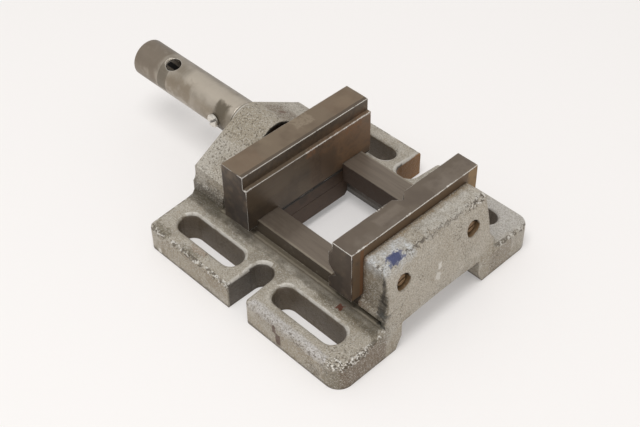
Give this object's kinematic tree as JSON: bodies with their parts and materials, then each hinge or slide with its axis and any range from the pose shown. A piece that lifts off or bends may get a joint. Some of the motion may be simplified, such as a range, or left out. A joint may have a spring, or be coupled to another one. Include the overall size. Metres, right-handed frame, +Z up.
{
  "type": "drill-press vise",
  "caption": "Low machine vise with a slotted flanged bed, a sliding jaw on two rails, a grooved fixed jaw and a hollow handle sleeve that draws the spindle",
  "frame": {"origin": "under the middle of the overall length, on the surface the vise stands on", "axes": "+X along the spindle from the handle sleeve to the fixed jaw, +Y across the jaws, to the left of someone who looks along +X, +Z up"},
  "size_m": [0.2514, 0.16, 0.067],
  "materials": {
    "casting": "rough sand casting in worn pale grey paint, with the rails and seats ground bare",
    "jaw_steel": "hardened and ground steel, darkened and stained, with bright worn edges",
    "black_steel": "oiled dark steel",
    "tube_steel": "turned steel, dulled by handling, with brown smudges",
    "bright_steel": "bright turned steel"
  },
  "bodies": {
    "bed": {"base_casting": "casting", "fixed_jaw_plate": "jaw_steel", "front_thrust_washer": "bright_steel", "rear_thrust_washer": "bright_steel", "fixed_jaw_screw_left": "black_steel", "fixed_jaw_washer_left": "black_steel", "fixed_jaw_screw_right": "black_steel", "fixed_jaw_washer_right": "black_steel"},
    "jaw": {"movable_jaw": "jaw_steel", "slide_block": "black_steel", "keeper_plate": "black_steel", "spindle_screw": "bright_steel", "spindle_pin": "bright_steel", "keeper_screw_left": "black_steel", "keeper_washer_left": "black_steel", "keeper_screw_right": "black_steel", "keeper_washer_right": "black_steel"},
    "handle": {"spindle_nut": "black_steel", "handle_sleeve": "tube_steel", "sleeve_screw": "bright_steel"}
  },
  "joints": [
    {"name": "handle_spin", "type": "hinge", "parent": "bed", "child": "handle", "pos_m": [-0.0795, 0, 0.0475], "axis": [1, 0, 0], "range_deg": [-722, 7646]},
    {"name": "jaw_slide", "type": "slide", "parent": "bed", "child": "jaw", "axis": [1, 0, 0], "range_m": [-0.006, 0.0637]}
  ],
  "couplings": [
    {"joint": "handle_spin", "follows": "jaw_slide", "rad_per_m": 2094.4}
  ]
}
